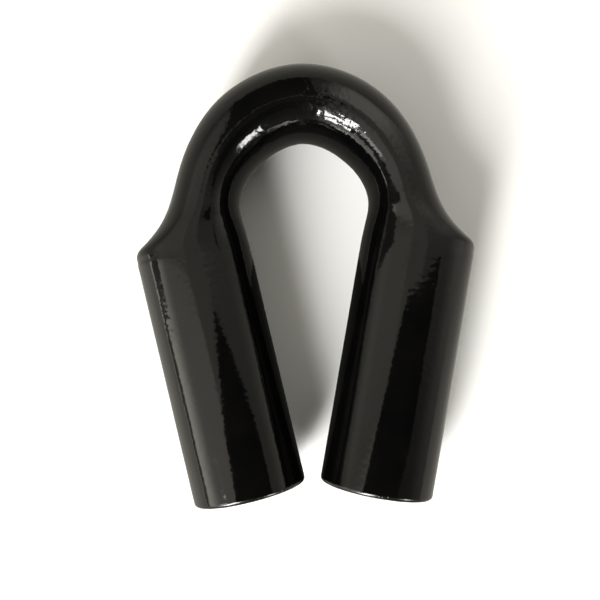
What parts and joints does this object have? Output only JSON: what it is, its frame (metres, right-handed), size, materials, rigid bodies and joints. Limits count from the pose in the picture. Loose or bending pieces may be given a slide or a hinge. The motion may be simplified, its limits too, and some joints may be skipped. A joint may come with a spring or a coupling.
{
  "type": "tube thimble eye",
  "caption": "Black-painted steel tube bent into an eye, with two straight tube legs welded to its flared mouths; a synthetic winch rope is threaded through it.",
  "frame": {"origin": "centre of the eye, on the thimble's middle plane", "axes": "+Y along the thimble's axis of symmetry towards the top of the crown; +Z along the axis of the eye, square to the thimble's flat side; +X towards the right leg"},
  "size_m": [0.0634, 0.0821, 0.0232],
  "materials": {
    "gloss_black_paint": "gloss black enamel over mill-finished steel"
  },
  "bodies": {
    "root": {"crown_bend": "gloss_black_paint", "left_leg_tube": "gloss_black_paint", "left_weld": "gloss_black_paint", "right_leg_tube": "gloss_black_paint", "right_weld": "gloss_black_paint"}
  },
  "joints": []
}
